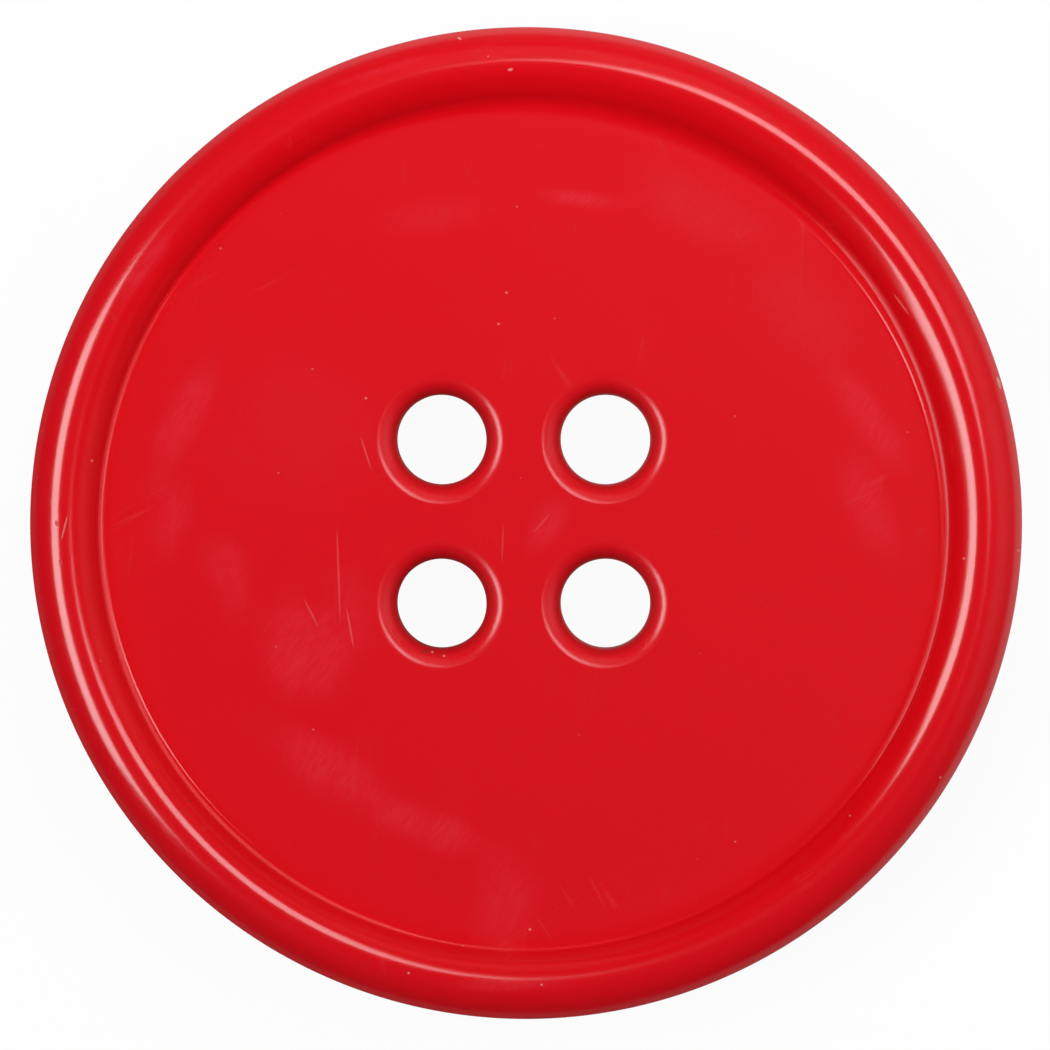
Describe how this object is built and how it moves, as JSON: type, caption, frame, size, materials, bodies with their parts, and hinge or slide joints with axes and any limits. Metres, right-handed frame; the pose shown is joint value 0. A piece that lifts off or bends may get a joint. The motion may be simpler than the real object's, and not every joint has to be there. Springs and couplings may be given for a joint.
{
  "type": "four-hole button",
  "caption": "Round sew-through button with a raised rounded rim, a shallow sunk face and round-mouthed thread holes in a square.",
  "frame": {"origin": "centre of the flat back, which lies on Z = 0", "axes": "+Z out of the sunk face, along the button's axis; the square of thread holes stands along X and Y"},
  "size_m": [0.0254, 0.0254, 0.0035],
  "materials": {
    "red_resin": "polished red resin with fine handling wear"
  },
  "bodies": {
    "root": {"button": "red_resin"}
  },
  "joints": []
}
